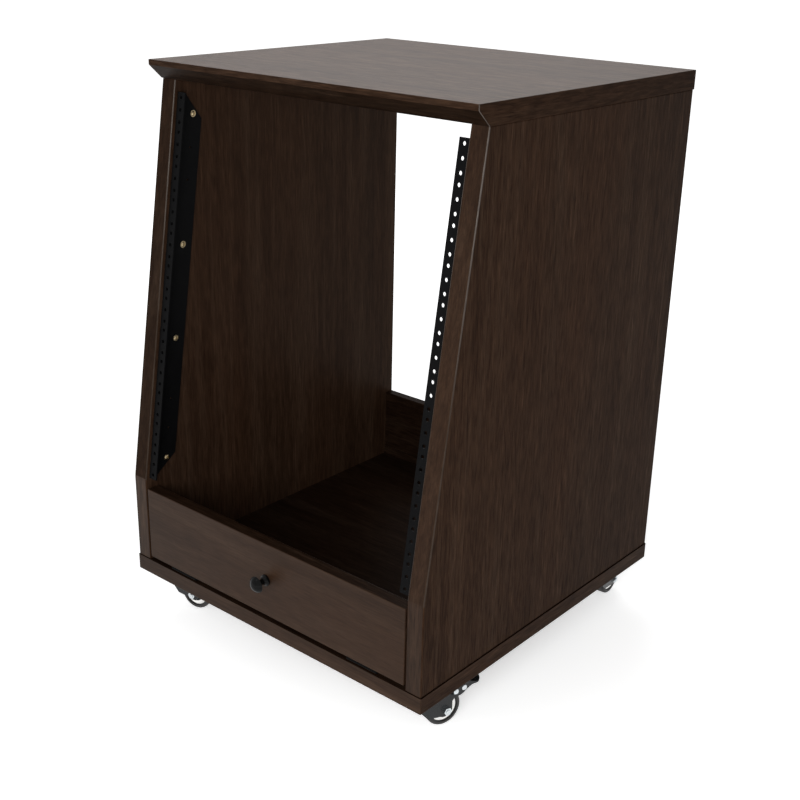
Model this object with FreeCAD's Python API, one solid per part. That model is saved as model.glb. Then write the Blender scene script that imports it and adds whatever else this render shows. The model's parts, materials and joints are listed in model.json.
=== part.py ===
import FreeCAD, Part
import math
import os

from FreeCAD import Rotation, Vector

# Studio rack stand: a slant-fronted cabinet with 12 rack units of punched
# rails, a drop-down front flap and four swivel casters, the front two braked.
# Lengths are millimetres. x runs to the right seen from the front, the front
# faces -y and z is up. While the pieces are made, y is zero at the front
# edges of the side panels and z is zero on the floor.

# rack standard
rack_pitch = 44.45
rack_pitch_count = 12
hole_height_shares = (1 / 7, 1 / 2, 6 / 7)
rack_opening = 450.85
rack_hole_inset = 7.125

# carcass
side_thickness = 25.0
side_depth = 533.0
knee_height = 125.5
slope_run = 86.0
knee_radius = 40.0
side_edge_round = 1.6
top_thickness = 25.0
top_nose_reach = 21.5
top_lip = 7.0
top_bevel_reach = 20.0
top_overhang = 1.0
top_edge_round = 0.8
base_thickness = 24.0
base_lip = 1.0
base_edge_round = 1.2
back_thickness = 15.5
low_panel_height = 112.5
strip_thickness = 3.0
strip_height = 13.0
panel_edge_round = 1.0

# front flap
flap_thickness = 18.0
flap_side_gap = 2.5
flap_foot_gap = 5.0

# flap hinges
hinge_inset = 70.0
hinge_length = 50.0
hinge_knuckle_radius = 2.0
hinge_pin_radius = 1.0
hinge_leaf_thickness = 1.0
hinge_leaf_depth = 16.0
hinge_axis_setback = 2.3
hinge_knuckle_gap = 0.2
hinge_knuckle_count = 3
hinge_fit = 0.05
hinge_screw_depth_share = 0.6
hinge_screw_shares = (0.2, 0.8)

# flap catches
catch_width = 14.0
catch_depth = 11.0
catch_height = 34.0
catch_top_drop = 20.0
catch_gap = 0.2
catch_chamfer = 1.5
pole_thickness = 1.2
pole_spacing = 6.0
pole_reach = 0.1
pole_end_inset = 7.1
catch_screw_share = 0.33
strike_thickness = 1.0
strike_pin_radius = 1.0
strike_pin_length = 6.0
strike_pin_share = 0.25

# knob
knob_length = 24.0
knob_head_radius = 11.5
knob_neck_radius = 4.0
knob_foot_radius = 8.0
knob_foot_height = 1.6
knob_neck_reach = 9.0
knob_rim_reach = 17.0
knob_bore_depth = 12.0
knob_flare = 1.2

# rack rails
rail_flange_width = 16.375
rail_setback = 4.4
rail_foot_lift = 3.6
rail_head_room = 15.2375
rail_steel = 2.0
rail_depth = 44.0
rail_bend_radius = 3.0
rail_corner_cut = 32.0
rail_hole_radius = 2.5
rail_screw_setback = 28.2
rail_screw_shares = (0.049, 0.377, 0.623, 0.951)
rail_spare_hole_shares = (0.132, 0.213, 0.787, 0.868)
rail_spare_hole_radius = 1.7

# wood screws and dowels
wood_screw_radius = 1.75
wood_screw_head_radius = 4.4
wood_screw_head_height = 2.2
wood_screw_length = 16.0
wood_screw_tip = 4.0
screw_tip_share = 0.33
screw_head_top_share = 0.45
screw_head_waist_share = 0.72
screw_head_rim_share = 0.35
screw_recess_width = 0.9
screw_recess_length = 4.2
screw_recess_depth = 1.1
small_screw_radius = 1.3
small_screw_head_radius = 2.6
small_screw_head_height = 1.3
small_screw_length = 10.0
bolt_screw_radius = 2.0
bolt_screw_head_radius = 4.2
bolt_screw_head_height = 2.4
carcass_screw_radius = 2.5
carcass_screw_head_radius = 5.0
carcass_screw_length = 60.0
carcass_screw_end_inset = 60.0
carcass_screw_sink = 8.0
dowel_radius = 4.0
dowel_length = 34.0
dowel_chamfer = 1.0
dowel_end_inset = 60.0
back_dowel_inset = 30.0
pilot_clearance = 0.05
through_clearance = 0.3

# casters
front_caster_inset = 37.0
rear_caster_inset = 45.0
caster_end_inset = 53.0
caster_trail = 25.0
plate_size = 60.0
plate_thickness = 2.5
plate_corner_radius = 7.0
plate_screw_offset = 22.0
plate_slot_length = 9.0
plate_slot_radius = 2.6
race_outer_radius = 21.0
race_inner_radius = 13.0
race_height = 4.5
race_round = 2.0
swivel_gap = 0.2
fork_steel = 2.0
fork_inner_half = 12.5
fork_bend_radius = 4.0
fork_heel_reach = 27.0
fork_heel_height = 8.0
fork_heel_round = 6.0
fork_foot_reach = 27.5
fork_foot_height = 20.5
fork_boss_radius = 9.0
fork_waist_drop = 20.8
fork_toe_reach = 18.5
fork_toe_drop = 9.8
fork_boss_back_share = 0.8
fork_boss_flat_share = 0.5
fork_boss_front_share = 0.4
kingpin_radius = 5.0
kingpin_head_radius = 8.0
kingpin_head_height = 2.0
kingpin_tyre_gap = 2.8
kingpin_head_share = 0.7
running_fit = 0.05
tyre_radius = 25.0
tyre_half_width = 10.0
tyre_round = 4.0
rim_radius = 19.5
rim_half_width = 8.0
web_half_width = 4.5
web_outer_radius = 11.8
hub_radius = 6.5
hub_side_gap = 0.2
ring_outer_radius = 18.8
ring_inner_radius = 12.6
ring_edge = 0.6
ring_height = 1.6
axle_radius = 3.0
axle_nut_flats = 10.0
axle_nut_height = 4.5
axle_head_height = 3.5
axle_end_reach = 1.5
axle_end_chamfer = 0.6

# caster brakes: places are measured back from the axle and down from the top
# of the fork
brake_steel = 1.5
brake_gap = 0.2
brake_low_along = (7.0, 12.8, 19.0, 26.0, 32.5, 39.0, 46.5, 53.0)
brake_low_drop = (10.8, 14.0, 14.8, 11.6, 7.2, 4.6, 4.6, 1.4)
brake_high_along = (53.0, 46.5, 38.0, 28.5, 18.0, 10.0)
brake_high_drop = (-0.4, 2.6, 0.2, -2.6, -0.8, 2.4)
brake_floor_start = 30.5
brake_pad_steel = 1.6
brake_tip_radius = 9.0
pivot_along = 12.8
pivot_drop = 7.2
pivot_radius = 1.8
second_rivet_along = 25.4
second_rivet_drop = 5.2
rivet_head_radius = 3.7
rivet_head_height = 1.4
rivet_round = 0.8
shoe_gap = 1.6
shoe_thickness = 2.0
shoe_length = 8.0
shoe_half_width = 11.5
tie_start = 20.2
tie_thickness = 2.2
tie_low_drop = 12.8
tie_high_drop = 6.8
shoe_angle = 45.0

# how far each caster has swung round from +x, in degrees
caster_swing = {
    "front_right": 72.0,
    "front_left": 10.0,
    "rear_right": 95.0,
    "rear_left": 62.0,
}

# one overrun for every cut that must pass right through, and the share of a
# small rounding within which two places count as the same
overrun = 2.0
match_share = 0.1

inner_width = rack_opening + 2 * rail_flange_width
outer_width = inner_width + 2 * side_thickness
rail_length = rack_pitch * rack_pitch_count
slope_length = rail_foot_lift + rail_length + rail_head_room
slope_angle = math.asin(slope_run / slope_length)
side_height = knee_height + slope_length * math.cos(slope_angle)
fork_top = 2 * tyre_radius + kingpin_tyre_gap + kingpin_head_height + fork_steel
caster_height = fork_top + swivel_gap + race_height + plate_thickness
floor_z = caster_height + base_thickness
roof_z = floor_z + side_height
flap_top = floor_z + low_panel_height
flap_bottom = floor_z + flap_foot_gap
flap_middle = (flap_top + flap_bottom) / 2

parts = {}


def box(x0, x1, y0, y1, z0, z1):
    return Part.makeBox(x1 - x0, y1 - y0, z1 - z0, Vector(x0, y0, z0))


def rod(radius, start, end):
    axis = end - start
    return Part.makeCylinder(radius, axis.Length, start, axis)


def face_of(points):
    return Part.Face(Part.makePolygon(points + points[:1]))


def side_profile(outline, x0, x1):
    """An outline of (y, z) points carried from x0 to x1."""
    points = [Vector(x0, y, z) for y, z in outline]
    return face_of(points).extrude(Vector(x1 - x0, 0, 0))


def turned(outline, start, axis):
    """An outline of (radius, reach) points turned about an axis from start."""
    points = [Vector(radius, 0, reach) for radius, reach in outline]
    shape = face_of(points).revolve(Vector(), Vector(0, 0, 1), 360)
    shape.Placement = FreeCAD.Placement(start, Rotation(Vector(0, 0, 1), axis))
    return shape


def rounded(shape, radius, wanted):
    """The shape with the edges that wanted() names rounded."""
    edges = [edge for edge in shape.Edges if wanted(edge)]
    return shape.makeFillet(radius, edges)


def near(a, b):
    return abs(a - b) < side_edge_round * match_share


def runs_in_x(edge):
    box_of = edge.BoundBox
    return near(box_of.YLength, 0) and near(box_of.ZLength, 0)


def mirrored(shape):
    return shape.mirror(Vector(), Vector(1, 0, 0))


# fasteners


def screw(start, axis, radius, length, head_radius, head_height):
    """A washer-head screw: its head rests at start, its shank runs along axis."""
    tip = min(wood_screw_tip, length * screw_tip_share)
    outline = [
        (0, -head_height),
        (head_radius * screw_head_top_share, -head_height),
        (head_radius * screw_head_waist_share, -head_height * screw_head_rim_share),
        (head_radius, -head_height * screw_head_rim_share),
        (head_radius, 0),
        (radius, 0),
        (radius, length - tip),
        (0, length),
    ]
    return turned(outline, start, axis)


def cross_recess(start, axis, head_height):
    """The cross that a driver fits, cut into a head that rests at start."""
    half_long = screw_recess_length / 2
    half_wide = screw_recess_width / 2
    low = -head_height - overrun
    high = screw_recess_depth - head_height
    bar = box(-half_long, half_long, -half_wide, half_wide, low, high)
    cross_bar = box(-half_wide, half_wide, -half_long, half_long, low, high)
    cross = bar.fuse(cross_bar)
    cross.Placement = FreeCAD.Placement(start, Rotation(Vector(0, 0, 1), axis))
    return cross


def pilot(start, axis, radius, length):
    """The hole that a screw cuts for itself."""
    unit = Vector(axis).normalize()
    return rod(radius + pilot_clearance, start - unit * overrun, start + unit * length)


def dowel(middle, axis):
    unit = Vector(axis).normalize()
    half = dowel_length / 2
    outline = [
        (0, -half),
        (dowel_radius - dowel_chamfer, -half),
        (dowel_radius, dowel_chamfer - half),
        (dowel_radius, half - dowel_chamfer),
        (dowel_radius - dowel_chamfer, half),
        (0, half),
    ]
    return turned(outline, middle, unit)


def dowel_hole(middle, axis):
    unit = Vector(axis).normalize()
    half = dowel_length / 2 + through_clearance
    return rod(dowel_radius + pilot_clearance, middle - unit * half, middle + unit * half)


# where the fasteners go


def carcass_screw_starts(side):
    x = side * (inner_width + side_thickness) / 2
    ys = (
        carcass_screw_end_inset + caster_end_inset,
        side_depth / 2,
        side_depth - carcass_screw_end_inset - caster_end_inset,
    )
    return [Vector(x, y, caster_height + carcass_screw_sink) for y in ys]


def top_dowel_middles(side):
    x = side * (inner_width + side_thickness) / 2
    first = slope_run + dowel_end_inset
    last = side_depth - dowel_end_inset
    drop = dowel_length / 2 - top_thickness / 2
    ys = (first, (first + last) / 2, last)
    return [Vector(x, y, roof_z - drop) for y in ys]


def back_dowel_middles(side):
    x = side * inner_width / 2
    y = side_depth - back_thickness / 2
    zs = (floor_z + back_dowel_inset, flap_top - back_dowel_inset)
    return [Vector(x, y, z) for z in zs]


def on_slope(shape):
    """Moves a shape made upright at the rail's foot on to the slanted edge."""
    turn = Rotation(Vector(1, 0, 0), -math.degrees(slope_angle))
    foot_y = rail_setback * math.cos(slope_angle) + rail_foot_lift * math.sin(slope_angle)
    foot_z = rail_foot_lift * math.cos(slope_angle) - rail_setback * math.sin(slope_angle)
    foot = Vector(0, foot_y, floor_z + knee_height + foot_z)
    placed = shape.copy()
    placed.Placement = FreeCAD.Placement(foot, turn).multiply(shape.Placement)
    return placed


def rail_screw_heights():
    return [rail_length * share for share in rail_screw_shares]


def rail_screw_seats(side):
    x = side * (inner_width / 2 - rail_steel)
    return [Vector(x, rail_screw_setback, z) for z in rail_screw_heights()]


# carcass


def side_face():
    """The side's outline at x zero: upright, eased at the knee, then slanted."""
    bend = knee_radius * math.tan(slope_angle / 2)
    lean_y = bend * math.sin(slope_angle)
    lean_z = bend * math.cos(slope_angle)
    knee_z = floor_z + knee_height
    low = Vector(0, 0, knee_z - bend)
    high = Vector(0, lean_y, knee_z + lean_z)
    half_turn = slope_angle / 2
    belly_y = knee_radius * (1 - math.cos(half_turn))
    belly_z = knee_z - bend + knee_radius * math.sin(half_turn)
    corners = [
        high,
        Vector(0, slope_run, roof_z),
        Vector(0, side_depth, roof_z),
        Vector(0, side_depth, floor_z),
        Vector(0, 0, floor_z),
        low,
    ]
    lines = [Part.makeLine(a, b) for a, b in zip(corners, corners[1:])]
    arc = Part.Arc(low, Vector(0, belly_y, belly_z), high).toShape()
    return Part.Face(Part.Wire([arc] + lines))


def side_panel(side):
    shape = side_face().extrude(Vector(side_thickness, 0, 0))
    shape.translate(Vector(inner_width / 2, 0, 0))
    outer = inner_width / 2 + side_thickness

    def long_edge(edge):
        flat = near(edge.BoundBox.XLength, 0)
        on_outer = near(edge.BoundBox.XMin, outer)
        level = near(edge.BoundBox.ZLength, 0)
        return flat and (on_outer or not level)

    shape = rounded(shape, side_edge_round, long_edge)
    shape = shape.cut(side_holes())
    if side < 0:
        shape = mirrored(shape)
    return shape


def side_holes():
    """Every hole in the right side panel."""
    into_side = Vector(1, 0, 0)
    holes = []
    for seat in rail_screw_seats(1):
        hole = pilot(seat, into_side, wood_screw_radius, wood_screw_length)
        holes.append(on_slope(hole))
    for start in carcass_screw_starts(1):
        up = Vector(0, 0, 1)
        holes.append(pilot(start, up, carcass_screw_radius, carcass_screw_length))
    for middle in top_dowel_middles(1):
        holes.append(dowel_hole(middle, Vector(0, 0, 1)))
    for middle in back_dowel_middles(1):
        holes.append(dowel_hole(middle, into_side))
    for seat in catch_screw_seats(1):
        holes.append(pilot(seat, into_side, small_screw_radius, small_screw_length))
    return Part.makeCompound(holes)


def top_panel():
    """The roof, with a square lip and a long bevel under its front edge."""
    front = slope_run - top_nose_reach
    back = side_depth + top_overhang
    top = roof_z + top_thickness
    outline = [
        (front, top),
        (back, top),
        (back, roof_z),
        (front + top_bevel_reach, roof_z),
        (front, top - top_lip),
    ]
    half = outer_width / 2 + top_overhang
    shape = side_profile(outline, -half, half)

    def eased(edge):
        on_top = near(edge.BoundBox.ZMin, top)
        upright = near(edge.BoundBox.XLength, 0) and not near(edge.BoundBox.ZLength, 0)
        under_lip = runs_in_x(edge) and not near(edge.BoundBox.ZMin, top)
        return on_top or upright or under_lip

    shape = rounded(shape, top_edge_round, eased)
    holes = [dowel_hole(m, Vector(0, 0, 1)) for s in (-1, 1) for m in top_dowel_middles(s)]
    return shape.cut(holes)


def base_panel():
    half = outer_width / 2 + base_lip
    shape = box(-half, half, -base_lip, side_depth + base_lip, caster_height, floor_z)
    shape = rounded(shape, base_edge_round, lambda edge: True)
    up = Vector(0, 0, 1)
    holes = []
    for side in (-1, 1):
        for start in carcass_screw_starts(side):
            holes.append(carcass_screw_hole(start))
        for seat in hinge_screw_places(side):
            holes.append(pilot(seat, Vector(0, 0, -1), small_screw_radius, small_screw_length))
    for name in caster_swing:
        for seat in caster_screw_places(name):
            seat_z = Vector(seat.x, seat.y, caster_height)
            holes.append(pilot(seat_z, up, wood_screw_radius, wood_screw_length))
    return shape.cut(holes)


def carcass_screw_hole(start):
    """A through hole with a counterbore for the head, from below."""
    below = Vector(start.x, start.y, caster_height - overrun)
    above = Vector(start.x, start.y, floor_z + overrun)
    bore = rod(carcass_screw_head_radius + through_clearance, below, start)
    shank = rod(carcass_screw_radius + pilot_clearance, start, above)
    return bore.fuse(shank)


def back_panel():
    half = inner_width / 2
    front = side_depth - back_thickness
    shape = box(-half, half, front, side_depth, floor_z, flap_top)
    shape = rounded(shape, panel_edge_round, lambda e: runs_in_x(e) and near(e.BoundBox.ZMin, flap_top))
    holes = [dowel_hole(m, Vector(1, 0, 0)) for s in (-1, 1) for m in back_dowel_middles(s)]
    return shape.cut(holes)


def back_strip():
    half = inner_width / 2
    back = side_depth - back_thickness
    front = back - strip_thickness
    top = floor_z + strip_height
    shape = box(-half, half, front, back, floor_z, top)

    def nose(edge):
        return runs_in_x(edge) and near(edge.BoundBox.ZMin, top) and near(edge.BoundBox.YMin, front)

    return rounded(shape, strip_thickness / 2, nose)


# front flap, its knob, hinges and catches


def flap():
    half = inner_width / 2 - flap_side_gap
    shape = box(-half, half, 0, flap_thickness, flap_bottom, flap_top)
    shape = rounded(shape, panel_edge_round, lambda edge: True)
    holes = []
    start = Vector(0, -overrun, flap_middle)
    end = Vector(0, flap_thickness + overrun, flap_middle)
    holes.append(rod(bolt_screw_radius + through_clearance, start, end))
    for side in (-1, 1):
        for place in hinge_screw_places(side):
            seat = Vector(place.x, place.y, flap_bottom)
            holes.append(pilot(seat, Vector(0, 0, 1), small_screw_radius, small_screw_length))
        for seat in strike_pin_places(side):
            holes.append(pilot(seat, Vector(0, -1, 0), strike_pin_radius, strike_pin_length))
    return shape.cut(holes)


def knob():
    """A mushroom knob: flared foot, narrow neck and domed head."""
    foot = Vector(knob_foot_radius, 0, knob_foot_height)
    neck = Vector(knob_neck_radius, 0, knob_neck_reach)
    rim = Vector(knob_head_radius, 0, knob_rim_reach)
    tip = Vector(0, 0, knob_length)
    flare = (foot + neck) / 2 - Vector(knob_flare, 0, knob_flare)
    throat = (neck + rim) / 2 - Vector(knob_flare, 0, -knob_flare)
    rise = knob_length - knob_rim_reach
    dome_radius = (knob_head_radius ** 2 + rise ** 2) / (2 * rise)
    half = math.asin(knob_head_radius / dome_radius) / 2
    drop = dome_radius * (1 - math.cos(half))
    crown = Vector(dome_radius * math.sin(half), 0, knob_length - drop)
    curves = [(foot, flare, neck), (neck, throat, rim), (rim, crown, tip)]
    arcs = [Part.Arc(*points).toShape() for points in curves]
    corners = [tip, Vector(), Vector(knob_foot_radius, 0, 0), foot]
    lines = [Part.makeLine(a, b) for a, b in zip(corners, corners[1:])]
    face = Part.Face(Part.Wire(arcs + lines))
    shape = face.revolve(Vector(), Vector(0, 0, 1), 360)
    bore = rod(bolt_screw_radius + pilot_clearance, Vector(0, 0, -overrun), Vector(0, 0, knob_bore_depth))
    shape = shape.cut(bore)
    turn = Rotation(Vector(0, 0, 1), Vector(0, -1, 0))
    shape.Placement = FreeCAD.Placement(Vector(0, 0, flap_middle), turn)
    return shape


def knob_screw():
    seat = Vector(0, flap_thickness, flap_middle)
    length = flap_thickness + knob_bore_depth - running_fit
    head = (bolt_screw_head_radius, bolt_screw_head_height)
    shape = screw(seat, Vector(0, -1, 0), bolt_screw_radius, length, *head)
    return shape.cut(cross_recess(seat, Vector(0, -1, 0), bolt_screw_head_height))


def hinge_start(side):
    """The left end of a hinge, on its pin's centre line."""
    middle = side * (inner_width / 2 - flap_side_gap - hinge_inset)
    return Vector(middle - hinge_length / 2, hinge_axis_setback, floor_z + flap_foot_gap / 2)


def hinge_screw_places(side):
    """Where the screws of a hinge stand, on the top of the base panel."""
    start = hinge_start(side)
    y = hinge_axis_setback + hinge_leaf_depth * hinge_screw_depth_share
    return [Vector(start.x + share * hinge_length, y, floor_z) for share in hinge_screw_shares]


def hinge_knuckles(side, wanted):
    """The knuckles that wanted() names, counted from the left."""
    start = hinge_start(side)
    pitch = hinge_length / hinge_knuckle_count
    half_gap = hinge_knuckle_gap / 2
    barrels = []
    for index in range(hinge_knuckle_count):
        if not wanted(index):
            continue
        low = half_gap if index else 0
        high = half_gap if index + 1 < hinge_knuckle_count else 0
        left = start + Vector(index * pitch + low, 0, 0)
        right = start + Vector((index + 1) * pitch - high, 0, 0)
        barrels.append(rod(hinge_knuckle_radius, left, right))
    return barrels


def hinge_leaf(side, z0, z1, wanted):
    start = hinge_start(side)
    barrels = hinge_knuckles(side, wanted)
    back = start.y + hinge_leaf_depth
    shape = box(start.x, start.x + hinge_length, start.y, back, z0, z1)
    for barrel in hinge_knuckles(side, lambda index: not wanted(index)):
        bound = barrel.BoundBox
        room = hinge_knuckle_radius + hinge_knuckle_gap
        ends = (bound.XMin - hinge_knuckle_gap, bound.XMax + hinge_knuckle_gap)
        shape = shape.cut(box(*ends, start.y - room, start.y + room, z0 - overrun, z1 + overrun))
    shape = shape.fuse(barrels)
    end = start + Vector(hinge_length + overrun, 0, 0)
    shape = shape.cut(rod(hinge_pin_radius + hinge_fit, start - Vector(overrun, 0, 0), end))
    for place in hinge_screw_places(side):
        low = Vector(place.x, place.y, z0 - overrun)
        high = Vector(place.x, place.y, z1 + overrun)
        shape = shape.cut(rod(small_screw_radius + through_clearance, low, high))
    return shape.removeSplitter()


def fixed_leaf(side):
    return hinge_leaf(side, floor_z, floor_z + hinge_leaf_thickness, lambda i: i % 2 == 0)


def moving_leaf(side):
    return hinge_leaf(side, flap_bottom - hinge_leaf_thickness, flap_bottom, lambda i: i % 2 == 1)


def hinge_pin(side):
    start = hinge_start(side)
    return rod(hinge_pin_radius, start, start + Vector(hinge_length, 0, 0))


def small_screw(seat, axis):
    head = (small_screw_head_radius, small_screw_head_height)
    return screw(seat, axis, small_screw_radius, small_screw_length, *head)


def hinge_screws_below(side):
    lift = Vector(0, 0, hinge_leaf_thickness)
    return [small_screw(place + lift, Vector(0, 0, -1)) for place in hinge_screw_places(side)]


def hinge_screws_above(side):
    lift = Vector(0, 0, flap_foot_gap - hinge_leaf_thickness)
    return [small_screw(place + lift, Vector(0, 0, 1)) for place in hinge_screw_places(side)]


def catch_bounds(side):
    """The x, y and z ranges of a catch, which hangs on a side panel."""
    outer = inner_width / 2
    xs = (outer - catch_width, outer)
    if side < 0:
        xs = (-outer, catch_width - outer)
    front = flap_thickness + strike_thickness + catch_gap + pole_reach
    top = flap_top - catch_top_drop
    return xs, (front, front + catch_depth), (top - catch_height, top)


def catch_screw_seats(side):
    _, (front, back), (low, high) = catch_bounds(side)
    x = side * (inner_width / 2 - catch_width * catch_screw_share)
    y = (front + back) / 2
    inset = small_screw_head_radius + catch_chamfer
    return [Vector(x, y, z) for z in (low + inset, high - inset)]


def catch(side):
    """A magnetic catch: a plastic body that holds two steel pole plates."""
    xs, (front, back), (low, high) = catch_bounds(side)
    shape = box(*xs, front, back, low, high)
    shape = shape.makeChamfer(catch_chamfer, [e for e in shape.Edges if near(e.BoundBox.YMin, back)])
    wall = Vector(side, 0, 0)
    for seat in catch_screw_seats(side):
        bore_end = seat - wall * catch_width
        shape = shape.cut(rod(small_screw_head_radius + through_clearance, bore_end, seat))
        shape = shape.cut(rod(small_screw_radius + pilot_clearance, seat, seat + wall * catch_width))
    middle = (xs[0] + xs[1]) / 2
    for sign in (-1, 1):
        x = middle + sign * pole_spacing / 2
        pole = (x - pole_thickness / 2, x + pole_thickness / 2)
        ends = (low + pole_end_inset, high - pole_end_inset)
        plate = box(*pole, front - pole_reach, front + pole_thickness, *ends)
        shape = shape.fuse(plate)
    return shape.removeSplitter()


def strike_pin_places(side):
    xs, _, (low, high) = catch_bounds(side)
    x = side * (inner_width / 2 - flap_side_gap) - side * (catch_width - flap_side_gap) / 2
    inset = (high - low) * strike_pin_share
    return [Vector(x, flap_thickness, z) for z in (low + inset, high - inset)]


def strike_plate(side):
    """A steel plate on the back of the flap, held by its own two pins."""
    _, _, (low, high) = catch_bounds(side)
    half = (catch_width - flap_side_gap) / 2 - panel_edge_round
    x = strike_pin_places(side)[0].x
    back = flap_thickness + strike_thickness
    shape = box(x - half, x + half, flap_thickness, back, low, high)
    for place in strike_pin_places(side):
        tip = place - Vector(0, strike_pin_length, 0)
        shape = shape.fuse(rod(strike_pin_radius, tip, place))
    return shape


# rack rails


def rack_rail(side):
    """An angle rail: a punched front flange and a screwed side flange."""
    wall = inner_width / 2
    free_edge = rack_opening / 2
    outline = [
        Vector(free_edge, 0, 0),
        Vector(wall, 0, 0),
        Vector(wall, rail_depth, 0),
        Vector(wall - rail_steel, rail_depth, 0),
        Vector(wall - rail_steel, rail_steel, 0),
        Vector(free_edge, rail_steel, 0),
    ]
    shape = face_of(outline).extrude(Vector(0, 0, rail_length))
    inner = rail_bend_radius - rail_steel
    shape = rounded(shape, rail_bend_radius, lambda e: upright_at(e, wall, 0))
    shape = rounded(shape, inner, lambda e: upright_at(e, wall - rail_steel, rail_steel))
    shape = shape.cut(rail_corner_cuts())
    holes = [rack_hole(z) for z in rack_hole_heights()]
    holes += [side_flange_hole(z, wood_screw_radius + through_clearance) for z in rail_screw_heights()]
    holes += [side_flange_hole(z, rail_spare_hole_radius) for z in rail_spare_heights()]
    shape = shape.cut(holes)
    if side < 0:
        shape = mirrored(shape)
    return on_slope(shape)


def upright_at(edge, x, y):
    bound = edge.BoundBox
    return near(bound.XMin, x) and near(bound.XMax, x) and near(bound.YMin, y) and near(bound.YMax, y)


def rail_corner_cuts():
    """The slanted cuts across both ends of the side flange."""
    near_y = rail_depth - rail_corner_cut
    far_y = rail_depth + overrun
    rise = rail_corner_cut + overrun
    wall = inner_width / 2
    x0 = wall - rail_steel - overrun
    low = [(near_y - overrun, -overrun), (far_y, -overrun), (far_y, rise)]
    high = [(y, rail_length - z) for y, z in low]
    return [side_profile(outline, x0, wall + overrun) for outline in (low, high)]


def rack_hole_heights():
    steps = range(rack_pitch_count)
    return [(step + share) * rack_pitch for step in steps for share in hole_height_shares]


def rail_spare_heights():
    return [rail_length * share for share in rail_spare_hole_shares]


def rack_hole(z):
    x = rack_opening / 2 + rack_hole_inset
    return rod(rail_hole_radius, Vector(x, -overrun, z), Vector(x, rail_steel + overrun, z))


def side_flange_hole(z, radius):
    wall = inner_width / 2
    start = Vector(wall - rail_steel - overrun, rail_screw_setback, z)
    return rod(radius, start, Vector(wall + overrun, rail_screw_setback, z))


def rail_screws(side):
    into_side = Vector(side, 0, 0)
    head = (wood_screw_head_radius, wood_screw_head_height)
    solids = []
    for seat in rail_screw_seats(side):
        shape = screw(seat, into_side, wood_screw_radius, wood_screw_length, *head)
        shape = shape.cut(cross_recess(seat, into_side, wood_screw_head_height))
        solids.append(on_slope(shape))
    return Part.makeCompound(solids)


# carcass fasteners


def carcass_screws():
    up = Vector(0, 0, 1)
    head = (carcass_screw_head_radius, carcass_screw_head_radius / 2)
    starts = [start for side in (-1, 1) for start in carcass_screw_starts(side)]
    length = carcass_screw_length - pilot_clearance
    return Part.makeCompound([screw(s, up, carcass_screw_radius, length, *head) for s in starts])


def top_dowels():
    up = Vector(0, 0, 1)
    return Part.makeCompound([dowel(m, up) for s in (-1, 1) for m in top_dowel_middles(s)])


def back_dowels():
    along = Vector(1, 0, 0)
    return Part.makeCompound([dowel(m, along) for s in (-1, 1) for m in back_dowel_middles(s)])


# casters: made with the kingpin over the origin and the wheel trailing to +x


def caster_place(name):
    side = 1 if name.endswith("right") else -1
    if name.startswith("front"):
        inset, y = front_caster_inset, caster_end_inset
    else:
        inset, y = rear_caster_inset, side_depth - caster_end_inset
    return Vector(side * (outer_width / 2 - inset), y, 0)


def caster_screw_places(name):
    middle = caster_place(name)
    offset = plate_screw_offset
    corners = [(sx * offset, sy * offset) for sx in (-1, 1) for sy in (-1, 1)]
    return [middle + Vector(dx, dy, 0) for dx, dy in corners]


def swung(shape, name):
    """Swings a caster piece to its angle and sets it under its corner."""
    placed = shape.copy()
    turn = Rotation(Vector(0, 0, 1), caster_swing[name])
    placed.Placement = FreeCAD.Placement(caster_place(name), turn).multiply(shape.Placement)
    return placed


def caster_plate():
    """The mounting plate with its pressed ball race below."""
    half = plate_size / 2
    low = caster_height - plate_thickness
    shape = box(-half, half, -half, half, low, caster_height)
    corners = [e for e in shape.Edges if near(e.BoundBox.XLength, 0) and near(e.BoundBox.YLength, 0)]
    shape = shape.makeFillet(plate_corner_radius, corners)
    foot = low - race_height
    outline = [
        (race_inner_radius, low),
        (race_inner_radius, foot),
        (race_outer_radius - race_round, foot),
        (race_outer_radius, foot + race_round),
        (race_outer_radius, low),
    ]
    shape = shape.fuse(turned(outline, Vector(), Vector(0, 0, 1)))
    shape = shape.cut([plate_slot(sx, sy) for sx in (-1, 1) for sy in (-1, 1)])
    bore = rod(kingpin_radius + pilot_clearance, Vector(), Vector(0, 0, caster_height + overrun))
    return shape.cut(bore).removeSplitter()


def plate_slot(sx, sy):
    """A slot that lies along the plate's diagonal."""
    low = caster_height - plate_thickness - overrun
    high = caster_height + overrun
    reach = plate_slot_length / 2 - plate_slot_radius
    ends = (-reach, reach)
    slot = box(*ends, -plate_slot_radius, plate_slot_radius, low, high)
    for x in ends:
        slot = slot.fuse(rod(plate_slot_radius, Vector(x, 0, low), Vector(x, 0, high)))
    slot.rotate(Vector(), Vector(0, 0, 1), math.degrees(math.atan2(sy, sx)))
    slot.translate(Vector(sx * plate_screw_offset, sy * plate_screw_offset, 0))
    return slot


def fork_leg_outline():
    """One leg of the fork seen from its side, from the heel round to the toe."""
    top = fork_top
    return [
        (-fork_heel_reach, top),
        (-fork_heel_reach, top - fork_heel_height),
        (caster_trail - fork_foot_reach, fork_foot_height),
        (caster_trail - fork_boss_radius, tyre_radius - fork_boss_radius * fork_boss_back_share),
        (caster_trail - fork_boss_radius * fork_boss_flat_share, tyre_radius - fork_boss_radius),
        (caster_trail + fork_boss_radius * fork_boss_flat_share, tyre_radius - fork_boss_radius),
        (caster_trail + fork_boss_radius, tyre_radius - fork_boss_radius * fork_boss_front_share),
        (caster_trail + fork_boss_radius, top - fork_waist_drop),
        (caster_trail + fork_toe_reach, top - fork_toe_drop),
        (caster_trail + fork_toe_reach, top),
    ]


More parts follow.
